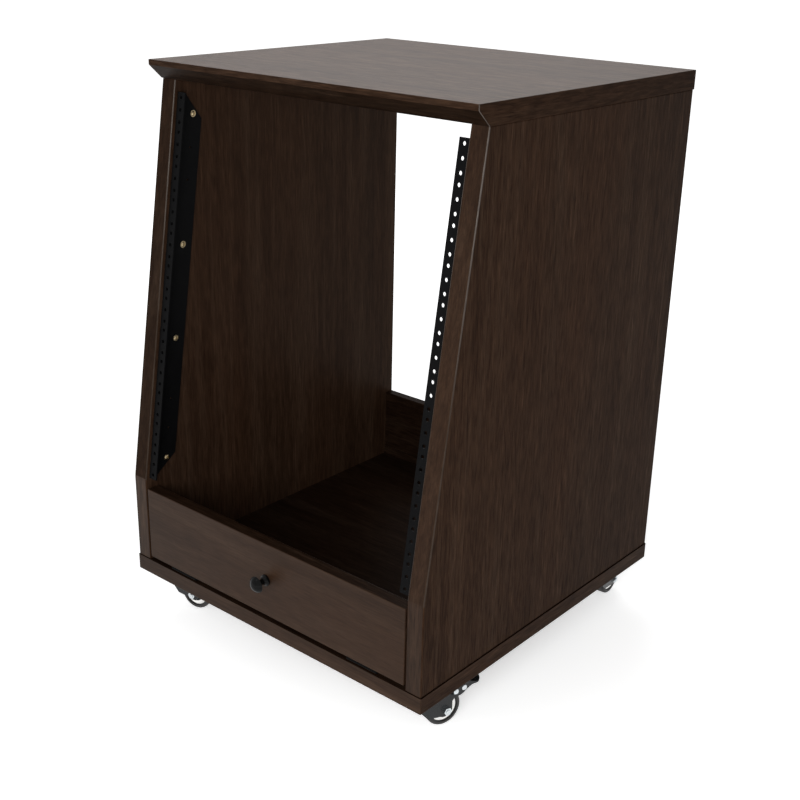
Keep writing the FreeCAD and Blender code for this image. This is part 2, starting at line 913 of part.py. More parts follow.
def fork():
    """A pressed steel fork: a channel with a round heel and two legs."""
    top = fork_top
    half = fork_inner_half + fork_steel
    points = [Vector(x, -half, z) for x, z in fork_leg_outline()]
    shape = face_of(points).extrude(Vector(0, 2 * half, 0))

    def heel_corner(edge):
        bound = edge.BoundBox
        return near(bound.XMax, -fork_heel_reach) and near(bound.YLength, 0)

    def top_bend(edge):
        bound = edge.BoundBox
        return near(bound.ZMin, top) and not near(bound.XLength, 0)

    shape = rounded(shape, fork_heel_round, heel_corner)
    shape = rounded(shape, fork_bend_radius, top_bend)
    reach = caster_trail + fork_toe_reach + overrun
    ceiling = top - fork_steel
    inside = box(-reach, reach, -fork_inner_half, fork_inner_half, 0, ceiling)
    shape = shape.cut(inside)
    crown = rod(race_outer_radius, Vector(0, 0, ceiling), Vector(0, 0, top))
    shape = shape.fuse(crown)
    bore = rod(kingpin_radius + running_fit, Vector(), Vector(0, 0, caster_height))
    axle_hole = rod(axle_radius + pilot_clearance, *across(caster_trail, tyre_radius, half + overrun))
    pivot_hole = rod(pivot_radius + pilot_clearance, *pivot_line(half + overrun))
    return shape.cut([bore, axle_hole, pivot_hole]).removeSplitter()


def across(x, z, half):
    """The ends of a line across the caster at (x, z)."""
    return Vector(x, -half, z), Vector(x, half, z)


def pivot_line(half):
    return across(caster_trail + pivot_along, fork_top - pivot_drop, half)


def kingpin():
    """The rivet that holds fork and plate together."""
    seat = fork_top - fork_steel
    outline = [
        (0, seat - kingpin_head_height),
        (kingpin_head_radius * kingpin_head_share, seat - kingpin_head_height),
        (kingpin_head_radius, seat - kingpin_head_height / 2),
        (kingpin_head_radius, seat),
        (kingpin_radius, seat),
        (kingpin_radius, caster_height),
        (0, caster_height),
    ]
    return turned(outline, Vector(), Vector(0, 0, 1))


def at_axle(outline):
    """A profile of (radius, reach) points turned about the axle's line."""
    start = Vector(caster_trail, 0, tyre_radius)
    return turned(outline, start, Vector(0, -1, 0))


def wheel():
    """A wheel core: a hub, a thin web and a broad rim."""
    hub = fork_inner_half - hub_side_gap
    bore = axle_radius + running_fit
    half = [
        (bore, hub),
        (hub_radius, hub),
        (hub_radius, web_half_width),
        (web_outer_radius, web_half_width),
        (web_outer_radius, rim_half_width),
        (rim_radius, rim_half_width),
    ]
    back = [(radius, -reach) for radius, reach in reversed(half)]
    return at_axle(half + back)


def wheel_rings():
    """The two bright pressed rings on the faces of a wheel's rim."""
    crest = (ring_inner_radius + ring_outer_radius) / 2
    half = [
        (ring_inner_radius, rim_half_width),
        (ring_outer_radius, rim_half_width),
        (ring_outer_radius, rim_half_width + ring_edge),
        (crest, rim_half_width + ring_height),
        (ring_inner_radius, rim_half_width + ring_edge),
    ]
    rings = [at_axle([(radius, sign * reach) for radius, reach in half]) for sign in (-1, 1)]
    return Part.makeCompound(rings)


def tyre():
    """A solid tyre with round shoulders, pressed on to the wheel's rim."""
    lean = tyre_round * (1 - math.sqrt(0.5))
    half = [
        (rim_radius, tyre_half_width),
        (tyre_radius - tyre_round, tyre_half_width),
        (tyre_radius - lean, tyre_half_width - lean),
        (tyre_radius, tyre_half_width - tyre_round),
    ]
    start, shoulder, middle, crown = [Vector(radius, 0, reach) for radius, reach in half]
    low_start, low_shoulder, low_middle, low_crown = [
        Vector(point.x, 0, -point.z) for point in (start, shoulder, middle, crown)
    ]
    edges = [
        Part.makeLine(start, shoulder),
        Part.Arc(shoulder, middle, crown).toShape(),
        Part.makeLine(crown, low_crown),
        Part.Arc(low_crown, low_middle, low_shoulder).toShape(),
        Part.makeLine(low_shoulder, low_start),
        Part.makeLine(low_start, start),
    ]
    shape = Part.Face(Part.Wire(edges)).revolve(Vector(), Vector(0, 0, 1), 360)
    turn = Rotation(Vector(0, 0, 1), Vector(0, -1, 0))
    shape.Placement = FreeCAD.Placement(Vector(caster_trail, 0, tyre_radius), turn)
    return shape


def hexagon(flats, start, end):
    radius = flats / 2 / math.cos(math.pi / 6)
    corners = [Vector(radius, 0, 0)]
    for step in range(1, 6):
        angle = step * math.pi / 3
        corners.append(Vector(radius * math.cos(angle), radius * math.sin(angle), 0))
    axis = end - start
    shape = face_of(corners).extrude(Vector(0, 0, axis.Length))
    shape.Placement = FreeCAD.Placement(start, Rotation(Vector(0, 0, 1), axis))
    return shape


def axle():
    """The wheel's bolt and its nut, which stands on the seen side."""
    leg = fork_inner_half + fork_steel
    middle = Vector(caster_trail, 0, tyre_radius)
    nut_end = leg + axle_nut_height
    bolt_end = nut_end + axle_end_reach
    head = hexagon(
        axle_nut_flats,
        middle + Vector(0, leg, 0),
        middle + Vector(0, leg + axle_head_height, 0),
    )
    outline = [
        (0, -leg - axle_head_height),
        (axle_radius, -leg - axle_head_height),
        (axle_radius, bolt_end - axle_end_chamfer),
        (axle_radius - axle_end_chamfer, bolt_end),
        (0, bolt_end),
    ]
    bolt = at_axle(outline).fuse(head).removeSplitter()
    nut = hexagon(axle_nut_flats, middle - Vector(0, leg, 0), middle - Vector(0, nut_end, 0))
    nut = nut.cut(rod(axle_radius, middle, middle - Vector(0, bolt_end + overrun, 0)))
    return Part.makeCompound([bolt, nut])


def brake():
    """A foot brake: a pressed channel round the fork, with a shoe inside."""
    inner = fork_inner_half + fork_steel + brake_gap
    outer = inner + brake_steel
    channel = brake_channel(inner, outer)
    shape = channel.multiFuse([brake_shoe(inner), second_rivet(outer)])
    bore = rod(pivot_radius + running_fit, *pivot_line(outer + overrun))
    return shape.cut(bore).removeSplitter()


def at_brake(alongs, drops, y, rise=0):
    top = fork_top + rise
    return [Vector(caster_trail + along, y, top - drop) for along, drop in zip(alongs, drops)]


def spline(points):
    curve = Part.BSplineCurve()
    curve.interpolate(points)
    return curve.toShape()


def brake_channel(inner, outer):
    """Two cheeks that run out into a dished pad with a round tip."""
    low = at_brake(brake_low_along, brake_low_drop, -outer)
    high = at_brake(brake_high_along, brake_high_drop, -outer)
    edges = [
        spline(low),
        Part.makeLine(low[-1], high[0]),
        spline(high),
        Part.makeLine(high[-1], low[0]),
    ]
    solid = Part.Face(Part.Wire(edges)).extrude(Vector(0, 2 * outer, 0))
    lifted = at_brake(brake_low_along, brake_low_drop, -inner, brake_pad_steel)
    ceiling = caster_height + overrun
    start, end = lifted[0], lifted[-1]
    roof = [end, Vector(end.x, end.y, ceiling), Vector(start.x, start.y, ceiling), start]
    walls = [Part.makeLine(a, b) for a, b in zip(roof, roof[1:])]
    hollow = Part.Face(Part.Wire([spline(lifted)] + walls)).extrude(Vector(0, 2 * inner, 0))
    room_end = caster_trail + brake_floor_start
    room = box(0, room_end, -inner, inner, tyre_radius, ceiling)
    return solid.cut([hollow, room]).common(pad_plan(outer))


def pad_plan(outer):
    """The brake seen from above: straight sides and a round tip."""
    tip = caster_trail + brake_low_along[-1]
    heights = (tyre_radius, caster_height)
    body = box(0, tip - brake_tip_radius, -outer, outer, *heights)
    reach = outer - brake_tip_radius
    nose = box(tip - 2 * brake_tip_radius, tip, -reach, reach, *heights)
    corners = []
    for y in (-reach, reach):
        low, high = (Vector(tip - brake_tip_radius, y, z) for z in heights)
        corners.append(rod(brake_tip_radius, low, high))
    return body.multiFuse([nose] + corners)


def brake_shoe(inner):
    """The bar that comes down on the tyre, and its tie to both cheeks."""
    near_face = tyre_radius + shoe_gap
    half = shoe_length / 2
    bar = box(near_face, near_face + shoe_thickness, -shoe_half_width, shoe_half_width, -half, half)
    bar.rotate(Vector(), Vector(0, 1, 0), -shoe_angle)
    bar.translate(Vector(caster_trail, 0, tyre_radius))
    start = caster_trail + tie_start
    heights = (fork_top - tie_low_drop, fork_top - tie_high_drop)
    tie = box(start, start + tie_thickness, -inner, inner, *heights)
    return bar.fuse(tie)


def second_rivet(outer):
    """The rivet that ties the cheeks together, with a round head outside."""
    place = (caster_trail + second_rivet_along, fork_top - second_rivet_drop)
    shank = rod(pivot_radius, *across(*place, outer))
    heads = [rivet_head(*place, sign * outer, sign) for sign in (-1, 1)]
    return shank.multiFuse(heads)


def rivet_head(x, z, y, sign):
    outline = [
        (0, 0),
        (rivet_head_radius, 0),
        (rivet_head_radius, rivet_head_height - rivet_round),
        (rivet_head_radius - rivet_round, rivet_head_height),
        (0, rivet_head_height),
    ]
    return turned(outline, Vector(x, y, z), Vector(0, sign, 0))


def brake_pivot():
    """The rivet on which the brake turns, clenched over both cheeks."""
    outer = fork_inner_half + fork_steel + brake_gap + brake_steel + brake_gap
    place = (caster_trail + pivot_along, fork_top - pivot_drop)
    shank = rod(pivot_radius, *pivot_line(outer))
    heads = [rivet_head(*place, sign * outer, sign) for sign in (-1, 1)]
    return shank.multiFuse(heads).removeSplitter()


def caster_screws():
    up = Vector(0, 0, 1)
    drop = Vector(0, 0, caster_height - plate_thickness)
    head = (wood_screw_head_radius, wood_screw_head_height)
    length = wood_screw_length + plate_thickness - pilot_clearance
    places = [place for name in caster_swing for place in caster_screw_places(name)]
    return Part.makeCompound([screw(p + drop, up, wood_screw_radius, length, *head) for p in places])


# assembly


def add_carcass():
    parts["top_panel"] = top_panel()
    parts["side_panel_left"] = side_panel(-1)
    parts["side_panel_right"] = side_panel(1)
    parts["base_panel"] = base_panel()
    parts["back_panel"] = back_panel()
    parts["back_foot_strip"] = back_strip()
    parts["carcass_screws"] = carcass_screws()
    parts["top_dowels"] = top_dowels()
    parts["back_dowels"] = back_dowels()


def add_rails():
    parts["rack_rail_left"] = rack_rail(-1)
    parts["rack_rail_right"] = rack_rail(1)
    parts["rail_screws_left"] = rail_screws(-1)
    parts["rail_screws_right"] = rail_screws(1)


def add_flap():
    sides = (-1, 1)
    parts["front_flap"] = flap()
    parts["knob"] = knob()
    parts["knob_screw"] = knob_screw()
    parts["hinge_leaf_fixed_left"] = fixed_leaf(-1)
    parts["hinge_leaf_fixed_right"] = fixed_leaf(1)
    parts["hinge_leaf_moving_left"] = moving_leaf(-1)
    parts["hinge_leaf_moving_right"] = moving_leaf(1)
    parts["hinge_pins"] = Part.makeCompound([hinge_pin(side) for side in sides])
    below = [solid for side in sides for solid in hinge_screws_below(side)]
    above = [solid for side in sides for solid in hinge_screws_above(side)]
    parts["hinge_screws_base"] = Part.makeCompound(below)
    parts["hinge_screws_flap"] = Part.makeCompound(above)
    parts["catch_left"] = catch(-1)
    parts["catch_right"] = catch(1)
    parts["strike_plates"] = Part.makeCompound([strike_plate(side) for side in sides])
    inward = [small_screw(seat, Vector(side, 0, 0)) for side in sides for seat in catch_screw_seats(side)]
    parts["catch_screws"] = Part.makeCompound(inward)


def add_casters():
    plate = caster_plate()
    pin = kingpin()
    swinging = {
        "fork": fork(),
        "wheel": wheel(),
        "rings": wheel_rings(),
        "tyre": tyre(),
        "axle": axle(),
        "brake": brake(),
        "brake_pivot": brake_pivot(),
    }
    braked = ("front_right", "front_left")
    for name in caster_swing:
        for piece, shape in (("plate", plate), ("kingpin", pin)):
            placed = shape.copy()
            placed.translate(caster_place(name))
            parts[f"caster_{name}_{piece}"] = placed
        for piece, shape in swinging.items():
            if piece.startswith("brake") and name not in braked:
                continue
            parts[f"caster_{name}_{piece}"] = swung(shape, name)
    parts["caster_screws"] = caster_screws()


def centre_and_export():
    """Sets the origin under the middle of the whole stand and exports."""
    whole = FreeCAD.BoundBox()
    for shape in parts.values():
        whole.add(shape.optimalBoundingBox(False, False))
    shift = Vector(-whole.Center.x, -whole.Center.y, 0)
    print("shift", shift, "size", whole.XLength, whole.YLength, whole.ZLength)
    for name, shape in parts.items():
        shape.translate(shift)
        shape.exportStep(f"parts/{name}.step")


os.makedirs("parts", exist_ok=True)
add_carcass()
add_rails()
add_flap()
add_casters()
centre_and_export()
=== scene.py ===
import json
import math
from collections import namedtuple

import bmesh
import bpy
from mathutils import Matrix, Vector


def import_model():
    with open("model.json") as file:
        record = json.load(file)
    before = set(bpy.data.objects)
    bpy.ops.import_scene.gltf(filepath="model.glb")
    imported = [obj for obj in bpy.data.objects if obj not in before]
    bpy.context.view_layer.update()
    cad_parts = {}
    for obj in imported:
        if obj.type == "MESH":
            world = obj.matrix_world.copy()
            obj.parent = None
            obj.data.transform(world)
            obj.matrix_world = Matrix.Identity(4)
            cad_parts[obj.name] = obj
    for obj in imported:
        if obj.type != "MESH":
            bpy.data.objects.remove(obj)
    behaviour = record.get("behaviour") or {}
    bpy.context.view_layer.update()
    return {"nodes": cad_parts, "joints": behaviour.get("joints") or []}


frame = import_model()
NODES = frame["nodes"]

# Axes that a grain can follow, and ways that a face can look
X, Y, Z = 0, 1, 2
UP = Vector((0, 0, 1))
RIGHT = Vector((1, 0, 0))
FRONT = Vector((0, -1, 0))

# The stand's own sizes, in metres, as in the part
KNEE_HEIGHT = 0.2135
SLOPE_RISE, SLOPE_DEPTH = 0.5455, 0.086
BEVEL_DROP, BEVEL_DEPTH = 0.018, 0.020
SLOPE = Vector((0, -SLOPE_RISE, SLOPE_DEPTH)).normalized()
BEVEL = Vector((0, -BEVEL_DROP, -BEVEL_DEPTH)).normalized()
CORNERS = ("front_right", "front_left", "rear_right", "rear_left")

# Parts of a face's normal, to pick faces by; the slope and the upright front,
# nine degrees apart, don't look the same way
SAME_WAY = 0.993
SIDEWAYS = 0.7
TURNED = 0.2
NEARLY_LEVEL = 0.97
ALONG_FRONT = 0.3

WHITE = (1.0, 1.0, 1.0)


# Node trees


def rgba(colour):
    """A constant colour with its alpha; a node's output stays as it is."""
    return (*colour, 1.0) if isinstance(colour, tuple) else colour


def times(colour, factor):
    return tuple(part * factor for part in colour)


class Graph:
    """A node tree, with short calls for the nodes used here."""

    def __init__(self, tree, output_kind):
        self.tree = tree
        self.tree.nodes.clear()
        self.output = self.tree.nodes.new(output_kind)

    def node(self, kind, inputs=None, **settings):
        """A node whose inputs are constants or other nodes' outputs."""
        made = self.tree.nodes.new(kind)
        for name, value in settings.items():
            setattr(made, name, value)
        for socket, value in (inputs or {}).items():
            if isinstance(value, bpy.types.NodeSocket):
                self.tree.links.new(value, made.inputs[socket])
            else:
                made.inputs[socket].default_value = value
        return made

    def show(self, shader):
        self.tree.links.new(shader.outputs[0], self.output.inputs["Surface"])

    def position(self):
        return self.node("ShaderNodeTexCoord").outputs["Object"]

    def scaled(self, vector, scale):
        return self.node("ShaderNodeMapping", {"Vector": vector, "Scale": scale}).outputs["Vector"]

    def noise(self, vector, scale, detail, roughness, distortion=0.0):
        inputs = {"Vector": vector, "Scale": scale, "Detail": detail}
        inputs.update({"Roughness": roughness, "Distortion": distortion})
        return self.node("ShaderNodeTexNoise", inputs).outputs["Fac"]

    def ramp(self, factor, stops):
        """Colours that follow a factor; a stop is its place and its colour."""
        made = self.node("ShaderNodeValToRGB", {"Fac": factor})
        elements = made.color_ramp.elements
        while len(elements) < len(stops):
            elements.new(0.5)
        for element, (place, colour) in zip(elements, stops):
            element.position = place
            element.color = rgba(colour)
        return made.outputs["Color"]

    def math(self, operation, a, b=0.0, clamp=False):
        made = self.node("ShaderNodeMath", {0: a, 1: b}, operation=operation, use_clamp=clamp)
        return made.outputs[0]

    def span(self, value, low, high, start=0.0, stop=1.0):
        """Goes from low to high while the value goes from start to stop."""
        inputs = {"Value": value, "From Min": start, "From Max": stop, "To Min": low, "To Max": high}
        return self.node("ShaderNodeMapRange", inputs).outputs["Result"]

    # The Mix node has sockets of its own for each kind of value: A and B are
    # 6 and 7 for colours and come out at 2, and 4 and 5 for vectors, out at 1

    def mix_colour(self, factor, a, b, blend="MIX"):
        inputs = {0: factor, 6: rgba(a), 7: rgba(b)}
        return self.node("ShaderNodeMix", inputs, data_type="RGBA", blend_type=blend).outputs[2]

    def mix_vector(self, factor, a, b):
        return self.node("ShaderNodeMix", {0: factor, 4: a, 5: b}, data_type="VECTOR").outputs[1]

    def bump(self, height, distance, strength):
        inputs = {"Height": height, "Distance": distance, "Strength": strength}
        return self.node("ShaderNodeBump", inputs).outputs["Normal"]

    def seen(self):
        """1 for the rays that show the stage, 0 for those that light the stand."""
        rays = self.node("ShaderNodeLightPath").outputs
        direct = self.math("MAXIMUM", rays["Is Camera Ray"], rays["Is Glossy Ray"])
        return self.math("MAXIMUM", direct, rays["Is Transmission Ray"])


class Look(Graph):
    """The node tree of a new material."""

    def __init__(self, name):
        self.material = bpy.data.materials.new(name)
        self.material.use_nodes = True
        super().__init__(self.material.node_tree, "ShaderNodeOutputMaterial")

    def finish(self, inputs):
        self.show(self.node("ShaderNodeBsdfPrincipled", inputs))
        return self.material


# Laminate

# The grain's features, with their number in a metre across and along the grain
Grain = namedtuple("Grain", "across along detail roughness distortion")
BROAD = Grain(7.0, 1.1, 2.0, 0.5, 0.5)
BANDS = Grain(42.0, 2.2, 4.0, 0.6, 0.8)
FLECKS = Grain(240.0, 30.0, 3.0, 0.6, 0.4)
STREAKS = Grain(560.0, 34.0, 4.0, 0.65, 0.3)
PORES = Grain(1300.0, 45.0, 2.0, 0.5, 0.0)

DARK = (0.0160, 0.0084, 0.0050)
MIDDLE = (0.0320, 0.0176, 0.0106)
LIGHT = (0.0560, 0.0345, 0.0225)
WARM = (0.0440, 0.0210, 0.0114)
WARM_SHARE = (-0.3, 1.0)
FLECK_SHADES = [(0.34, (0.66, 0.62, 0.60)), (0.50, WHITE), (0.68, (1.38, 1.40, 1.42))]
STREAK_SHADES = [(0.34, (0.54, 0.52, 0.50)), (0.52, WHITE), (0.70, (1.55, 1.52, 1.48))]
PORE_SHADES = [(0.30, (0.42, 0.40, 0.38)), (0.42, WHITE)]
FLECK_STRENGTH, STREAK_STRENGTH, PORE_STRENGTH = 0.80, 0.85, 0.75
STREAK_HEIGHT, PORE_HEIGHT = 0.6, 0.5
GRAIN_DEPTH, GRAIN_BUMP = 0.00022, 0.55
LAMINATE_ROUGH = (0.50, 0.34)
WARM_TINT = (1.0, 0.88, 0.78, 1.0)

# Where each board's grain starts in the noise, in metres
SEED_WAY = (1.0, 0.7, 1.3)
SEEDS = {
    "side_panel_right": 0.0,
    "side_panel_left": 3.1,
    "top_panel": 1.7,
    "base_panel": 5.3,
    "front_flap": 7.9,
    "back_panel": 9.4,
    "joint_shade": 2.2,
}


def looks_sideways(g):
    """1 on faces that look left or right."""
    normal = g.node("ShaderNodeNewGeometry").outputs["Normal"]
    parts = g.node("ShaderNodeSeparateXYZ", {"Vector": normal}).outputs
    return g.math("GREATER_THAN", g.math("ABSOLUTE", parts["X"]), SIDEWAYS)


def laminate(name, seed, grain, spec, tone, contrast=1.0, side_grain=None):
    """Dark wood-grain laminate. grain is the axis that the grain follows, and side_grain the one that it
    follows on faces that look left or right. tone scales the whole colour, and the boards and faces use it
    for painted light and shade."""
    g = Look(name)
    shift = times(SEED_WAY, seed)
    place = g.node("ShaderNodeVectorMath", {0: g.position(), 1: shift}).outputs["Vector"]
    sideways = None if side_grain is None else looks_sideways(g)

    def stretched(feature, axis):
        scale = [feature.across] * 3
        scale[axis] = feature.along
        return g.scaled(place, scale)

    def pattern(feature):
        where = stretched(feature, grain)
        if side_grain is not None:
            where = g.mix_vector(sideways, where, stretched(feature, side_grain))
        return g.noise(where, 1.0, feature.detail, feature.roughness, feature.distortion)

    bands = [(0.30, times(DARK, tone)), (0.50, times(MIDDLE, tone)), (0.74, times(LIGHT, tone))]
    colour = g.ramp(pattern(BANDS), bands)
    colour = g.mix_colour(g.span(pattern(BROAD), *WARM_SHARE), colour, times(WARM, tone))
    streaks = pattern(STREAKS)
    pores = g.ramp(pattern(PORES), PORE_SHADES)
    layers = (
        (g.ramp(pattern(FLECKS), FLECK_SHADES), FLECK_STRENGTH),
        (g.ramp(streaks, STREAK_SHADES), STREAK_STRENGTH),
        (pores, PORE_STRENGTH),
    )
    for shade, strength in layers:
        colour = g.mix_colour(strength * contrast, colour, shade, "MULTIPLY")
    pore_level = g.node("ShaderNodeSeparateColor", {"Color": pores}).outputs[0]
    streak_height = g.math("MULTIPLY", streaks, STREAK_HEIGHT)
    height = g.math("ADD", streak_height, g.math("MULTIPLY", pore_level, PORE_HEIGHT))
    return g.finish({
        "Base Color": colour,
        "Roughness": g.span(streaks, *LAMINATE_ROUGH),
        "Specular IOR Level": spec,
        "Specular Tint": WARM_TINT,
        "Normal": g.bump(height, GRAIN_DEPTH, GRAIN_BUMP * contrast),
    })


# The rounded edges of the boards get a painted highlight, which comes in between these heights
HIGHLIGHT_FROM, HIGHLIGHT_TO = 0.44, 0.68
PLAIN_EDGE = [(0.35, (0.026, 0.016, 0.010)), (0.75, (0.044, 0.030, 0.021))]
# The lighter edge colours below are a painted highlight; the plain ones are near the laminate's own
PAINTED_HIGHLIGHT_EDGE = [(0.35, (0.075, 0.062, 0.053)), (0.75, (0.105, 0.090, 0.078))]


def eased_edge(name):
    """The rounded edges of the boards, with a painted highlight that grows lighter towards the roof."""
    g = Look(name)
    place = g.position()
    height = g.node("ShaderNodeSeparateXYZ", {"Vector": place}).outputs["Z"]
    highlight_share = g.span(height, 0.0, 1.0, HIGHLIGHT_FROM, HIGHLIGHT_TO)
    edge_mottle = g.noise(place, scale=55.0, detail=4.0, roughness=0.6)
    return g.finish({
        "Base Color": g.mix_colour(highlight_share, g.ramp(edge_mottle, PLAIN_EDGE), g.ramp(edge_mottle, PAINTED_HIGHLIGHT_EDGE)),
        "Roughness": g.span(edge_mottle, 0.30, 0.42),
        "Specular IOR Level": 0.12,
    })


# Other materials


def powder_coat(name, colour, spec, rough=(0.34, 0.50), depth=0.00006):
    """Black powder coat with a fine speckle."""
    lighter = 1.6
    g = Look(name)
    place = g.position()
    speckle = g.noise(place, scale=1400.0, detail=2.0, roughness=0.5)
    cloud = g.noise(place, scale=28.0, detail=3.0, roughness=0.55)
    return g.finish({
        "Base Color": g.mix_colour(g.span(cloud, 0.0, 1.0), colour, times(colour, lighter)),
        "Roughness": g.span(speckle, *rough),
        "Specular IOR Level": spec,
        "Normal": g.bump(speckle, depth, 0.6),
    })


def metal(name, colour, rough):
    """Plated steel with faint scratches and patches of duller plate."""
    scratches = (260.0, 780.0, 260.0)
    duller = 0.78
    g = Look(name)
    place = g.position()
    fine = g.noise(g.scaled(place, scratches), scale=1.0, detail=3.0, roughness=0.6, distortion=0.2)
    cloud = g.noise(place, scale=60.0, detail=2.0, roughness=0.5)
    return g.finish({
        "Base Color": g.mix_colour(g.span(cloud, 0.1, 0.9), colour, times(colour, duller)),
        "Metallic": 1.0,
        "Roughness": g.span(fine, *rough),
        "Normal": g.bump(fine, 0.00003, 0.35),
    })


def moulded(name, colour, rough, spec=0.5, depth=0.00004):
    """Moulded black plastic, or the knob's gloss black."""
    g = Look(name)
    place = g.position()
    texture = g.noise(place, scale=900.0, detail=2.0, roughness=0.5)
    cloud = g.noise(place, scale=35.0, detail=2.0, roughness=0.5)
    lighter = tuple(part * 1.35 + 0.001 for part in colour)
    return g.finish({
        "Base Color": g.mix_colour(g.span(cloud, 0.0, 1.0), colour, lighter),
        "Roughness": g.span(texture, *rough),
        "Specular IOR Level": spec,
        "Normal": g.bump(texture, depth, 0.5),
    })


def rubber(name):
    """The tyres' black rubber, with a little dust."""
    g = Look(name)
    place = g.position()
    texture = g.noise(place, scale=1500.0, detail=3.0, roughness=0.6)
    dust = g.noise(place, scale=90.0, detail=4.0, roughness=0.6)
    return g.finish({
        "Base Color": g.ramp(dust, [(0.35, (0.014, 0.013, 0.013)), (0.70, (0.030, 0.028, 0.026))]),
        "Roughness": g.span(texture, 0.42, 0.62),
        "Specular IOR Level": 0.40,
        "Normal": g.bump(texture, 0.00008, 0.5),
    })


def beech(name):
    """The dowels' pale wood."""
    g = Look(name)
    upright_fibres = (260.0, 260.0, 18.0)
    fibres = g.noise(g.scaled(g.position(), upright_fibres), scale=1.0, detail=3.0, roughness=0.6)
    return g.finish({
        "Base Color": g.ramp(fibres, [(0.3, (0.42, 0.28, 0.16)), (0.7, (0.62, 0.46, 0.30))]),
        "Roughness": 0.6,
        "Normal": g.bump(fibres, 0.0001, 0.4),
    })


# Dressing the nodes


def dress(names, material):
    for name in names:
        mesh = NODES[name].data
        mesh.materials.clear()
        mesh.materials.append(material)


def dress_faces(name, material, chosen):
    """Gives another material to the faces for which chosen(face) holds."""
    mesh = NODES[name].data
    mesh.materials.append(material)
    slot = len(mesh.materials) - 1
    for face in mesh.polygons:
        if chosen(face):
            face.material_index = slot


def looking(way):
    """Picks the flat faces that look one way."""
    return lambda face: face.normal.dot(way) > SAME_WAY


def front_corner(face):
    """Picks the rounded edges between a board's front and its left and right."""
    return abs(face.normal.x) > TURNED and face.normal.y < -TURNED


def slope_corner(face):
    """Picks the front corners of a side board above its knee."""
    return front_corner(face) and face.center.z > KNEE_HEIGHT


def rounded_up(face):
    return TURNED < face.normal.z < NEARLY_LEVEL


def rounded_down(face):
    return -NEARLY_LEVEL < face.normal.z < -TURNED and abs(face.normal.y) < ALONG_FRONT


# A board's own look, and the looks of its faces that look another way. One laminate gets different tones on
# its boards and faces as painted light and shade: the top face is painted lighter, and the inside floor,
# flap top, bevel, slopes, fronts, lip and back panel are painted darker.
BoardLook = namedtuple("BoardLook", "node name grain spec tone contrast side_grain")
FaceLook = namedtuple("FaceLook", "node name way grain spec tone contrast")
BOARD_LOOKS = (
    BoardLook("side_panel_right", "side_right", Z, 0.013, 1.04, 1.0, None),
    BoardLook("side_panel_left", "side_left", Z, 0.03, 0.98, 0.7, None),
    BoardLook("top_panel", "top_edges", X, 0.01, 0.9, 1.0, Y),
    BoardLook("base_panel", "base", X, 0.09, 0.94, 0.6, Y),
    BoardLook("front_flap", "flap", X, 0.10, 0.82, 0.5, None),
    BoardLook("back_panel", "back", X, 0.01, 0.5, 1.0, None),
)
LIT_AND_SHADED_FACE_LOOKS = (
    FaceLook("base_panel", "floor", UP, X, 0.005, 0.42, 0.7),
    FaceLook("base_panel", "base_side", RIGHT, Y, 0.02, 1.1, 1.0),
    FaceLook("top_panel", "top", UP, X, 0.034, 2.15, 1.0),
    FaceLook("front_flap", "flap_top", UP, X, 0.01, 0.5, 1.0),
    FaceLook("top_panel", "bevel", BEVEL, X, 0.02, 0.36, 1.0),
    FaceLook("side_panel_left", "left_slope", SLOPE, Z, 0.02, 0.58, 0.7),
    FaceLook("side_panel_right", "right_slope", SLOPE, Z, 0.07, 0.76, 0.7),
    FaceLook("side_panel_left", "left_front", FRONT, Z, 0.12, 0.95, 1.0),
    FaceLook("side_panel_right", "right_front", FRONT, Z, 0.10, 0.75, 1.0),
    FaceLook("top_panel", "lip", FRONT, X, 0.02, 0.75, 1.0),
)


def look_material(look, side_grain=None):
    name, seed = f"laminate_{look.name}", SEEDS[look.node]
    return laminate(name, seed, look.grain, look.spec, look.tone, look.contrast, side_grain)


def dress_boards():
    for look in BOARD_LOOKS:
        dress([look.node], look_material(look, look.side_grain))
    dress(["back_foot_strip"], NODES["back_panel"].data.materials[0])
    for look in LIT_AND_SHADED_FACE_LOOKS:
        dress_faces(look.node, look_material(look), looking(look.way))
    # The front corners of the slopes and of the top get the painted edge highlight
    edge = eased_edge("laminate_edge_painted_highlight")
    dress_faces("side_panel_left", edge, slope_corner)
    dress_faces("side_panel_right", edge, slope_corner)
    dress_faces("top_panel", edge, front_corner)
    # The rounded edges on the base's top and under the top are painted near black: painted shade in the
    # joints
    joint_shade = laminate("laminate_seam", SEEDS["joint_shade"], X, spec=0.0, tone=0.15)
    dress_faces("base_panel", joint_shade, rounded_up)
    dress_faces("top_panel", joint_shade, rounded_down)


def dress_fittings():
    dress(["top_dowels", "back_dowels"], beech("beech_dowel"))
    rail_coat = powder_coat("rail_powder_coat", (0.003, 0.003, 0.0032), spec=0.03)
    dress(["rack_rail_left", "rack_rail_right"], rail_coat)
    dress(["rail_screws_left", "rail_screws_right"], metal("brass_plate", (0.62, 0.50, 0.30), (0.22, 0.42)))
    dress(["knob"], moulded("knob_gloss", (0.002, 0.002, 0.002), (0.08, 0.16), spec=0.09, depth=0.00002))
    hinge_black = powder_coat("hinge_black", (0.003, 0.003, 0.003), spec=0.04, rough=(0.50, 0.65))
    dress([name for name in NODES if name.startswith("hinge_")], hinge_black)
    dress(["catch_left", "catch_right"], moulded("catch_plastic", (0.02, 0.02, 0.02), (0.45, 0.6)))
    zinc = metal("zinc_plate", (0.62, 0.63, 0.64), (0.20, 0.38))
    dress(["strike_plates", "catch_screws", "knob_screw", "carcass_screws", "caster_screws"], zinc)


# The brake's second rivet, from its pivot, and the outer faces of its cheeks
RIVET_ALONG, RIVET_UP = 0.0126, 0.002
RIVET_RADIUS = 0.0038
CHEEK = 0.0163


